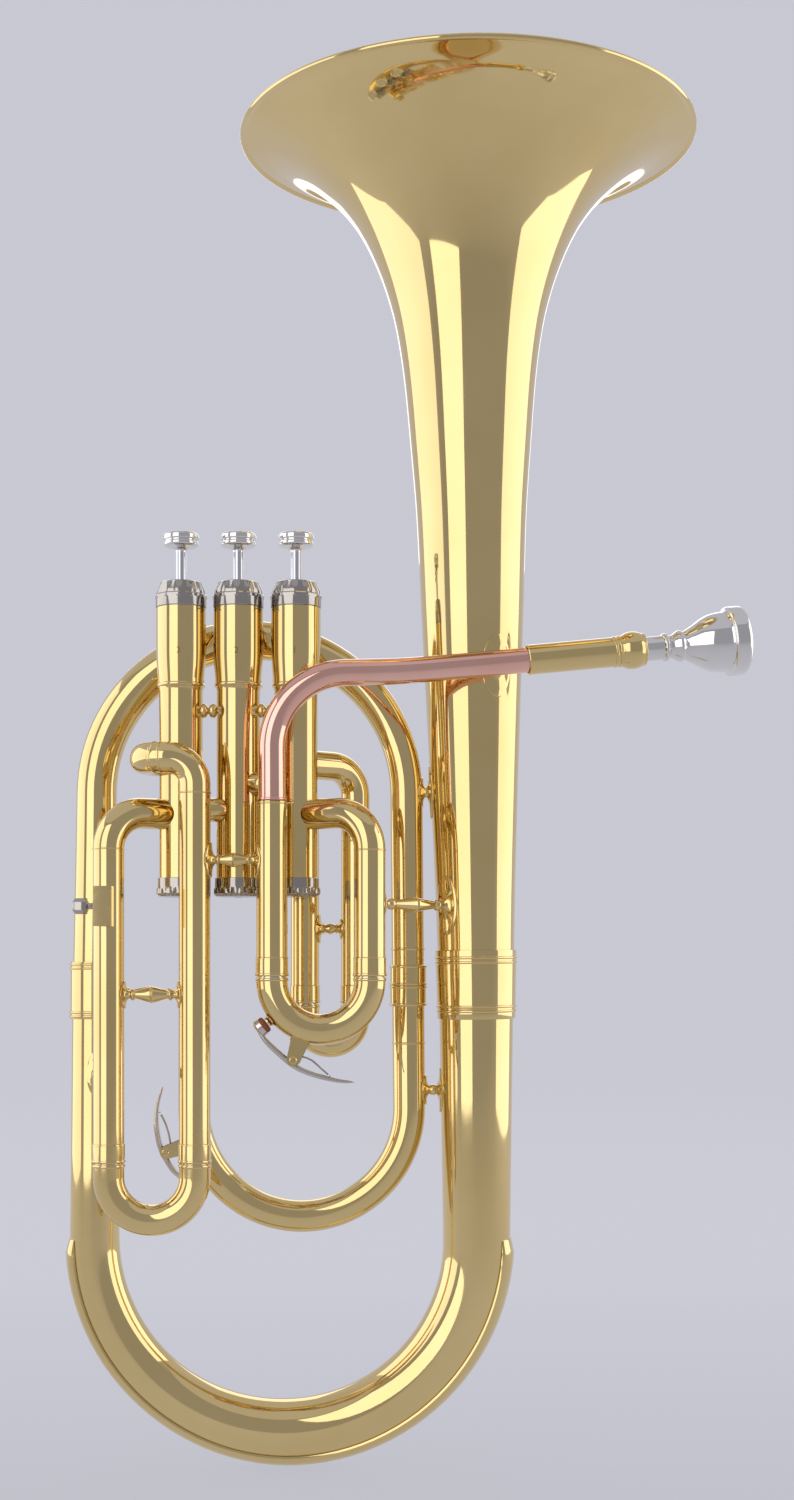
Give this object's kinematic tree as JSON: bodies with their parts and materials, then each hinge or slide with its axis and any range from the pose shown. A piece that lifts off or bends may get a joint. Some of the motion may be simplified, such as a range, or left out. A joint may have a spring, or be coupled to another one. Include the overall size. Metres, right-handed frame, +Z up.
{
  "type": "baritone horn",
  "caption": "Upright brass horn with a conical bell, piston valves, tuning slides, water keys, leadpipe and mouthpiece",
  "frame": {"origin": "lowest point of the guard under the bottom bow, midway between the bow's two legs", "axes": "+Z up along the bell; +X in the plane of the bows, from the valves towards the bell and mouthpiece; +Y away from the side with the main and third slides"},
  "size_m": [0.3575, 0.24, 0.7038],
  "materials": {
    "brass": "clear lacquered, polished",
    "copper": "lacquered rose brass, polished",
    "nickel": "nickel plated, polished",
    "silver": "silver plated, polished",
    "steel": "drawn spring wire",
    "cork": "matt cork"
  },
  "bodies": {
    "horn": {"bell": "brass", "bell_ferrule": "brass", "bottom_bow": "brass", "bow_guard": "brass", "branch_ferrule": "brass", "large_branch": "brass", "loop_ferrule": "brass", "small_branch": "brass", "leadpipe": "copper", "leadpipe_foot": "brass", "receiver": "brass", "valve_casing_1": "brass", "valve_casing_2": "brass", "valve_casing_3": "brass", "top_cap_1": "nickel", "top_cap_2": "nickel", "top_cap_3": "nickel", "bottom_cap_1": "nickel", "bottom_cap_2": "nickel", "bottom_cap_3": "nickel", "valve_spring_1": "steel", "valve_spring_2": "steel", "valve_spring_3": "steel", "knuckle_1_2": "brass", "knuckle_2_3": "brass", "main_outer_left": "brass", "main_outer_right": "brass", "third_outer_left": "brass", "third_outer_right": "brass", "first_outer_left": "brass", "first_outer_right": "brass", "second_outer_upper": "brass", "second_outer_lower": "brass", "lyre_holder": "brass", "brace_third_slide": "brass", "brace_third_main": "brass", "brace_first_slide": "brass", "brace_branch": "brass", "brace_loop_upper": "brass", "brace_loop_lower": "brass", "brace_third_bow": "brass", "brace_main_bell": "brass"},
    "valve_1": {"piston_1": "nickel", "finger_button_1": "nickel"},
    "valve_2": {"piston_2": "nickel", "finger_button_2": "nickel"},
    "valve_3": {"piston_3": "nickel", "finger_button_3": "nickel"},
    "main_slide": {"main_slide": "brass"},
    "third_slide": {"third_slide": "brass"},
    "first_slide": {"first_slide": "brass"},
    "second_slide": {"second_slide": "brass"},
    "main_key": {"main_key_lever": "nickel", "main_key_cork": "cork", "main_key_spring": "steel"},
    "loop_key": {"loop_key_lever": "nickel", "loop_key_cork": "cork", "loop_key_spring": "steel"},
    "mouthpiece": {"mouthpiece": "silver"},
    "lyre_screw": {"lyre_screw": "nickel"}
  },
  "joints": [
    {"name": "valve_1_press", "type": "slide", "parent": "horn", "child": "valve_1", "axis": [0, 0, -1], "range_m": [0, 0.016], "stiffness_N_per_m": 160, "springref_m": -0.018, "deforming": ["valve_spring_1"]},
    {"name": "valve_2_press", "type": "slide", "parent": "horn", "child": "valve_2", "axis": [0, 0, -1], "range_m": [0, 0.016], "stiffness_N_per_m": 160, "springref_m": -0.018, "deforming": ["valve_spring_2"]},
    {"name": "valve_3_press", "type": "slide", "parent": "horn", "child": "valve_3", "axis": [0, 0, -1], "range_m": [0, 0.016], "stiffness_N_per_m": 160, "springref_m": -0.018, "deforming": ["valve_spring_3"]},
    {"name": "main_slide_pull", "type": "slide", "parent": "horn", "child": "main_slide", "axis": [0, 0, -1], "range_m": [0, 0.045]},
    {"name": "third_slide_pull", "type": "slide", "parent": "horn", "child": "third_slide", "axis": [0, 0, -1], "range_m": [0, 0.095]},
    {"name": "first_slide_pull", "type": "slide", "parent": "horn", "child": "first_slide", "axis": [0, 0, -1], "range_m": [0, 0.05]},
    {"name": "second_slide_pull", "type": "slide", "parent": "horn", "child": "second_slide", "axis": [0, 1, 0], "range_m": [0, 0.014]},
    {"name": "main_key_tilt", "type": "hinge", "parent": "main_slide", "child": "main_key", "pos_m": [0.00649, -0.048, 0.21705], "axis": [0, -1, 0], "range_deg": [0, 13], "stiffness_Nm_per_rad": 0.2, "springref_deg": -20.05},
    {"name": "loop_key_tilt", "type": "hinge", "parent": "horn", "child": "loop_key", "pos_m": [-0.06321, 0, 0.166], "axis": [0, 1, 0], "range_deg": [0, 9], "stiffness_Nm_per_rad": 0.2, "springref_deg": -20.05},
    {"name": "mouthpiece_pull", "type": "slide", "parent": "horn", "child": "mouthpiece", "axis": [0.9819, 0.1531, 0.1117], "range_m": [0, 0.03]},
    {"name": "lyre_screw_turn", "type": "hinge", "parent": "horn", "child": "lyre_screw", "pos_m": [-0.0876, -0.0616, 0.2943], "axis": [-1, 0, 0], "continuous": true}
  ]
}
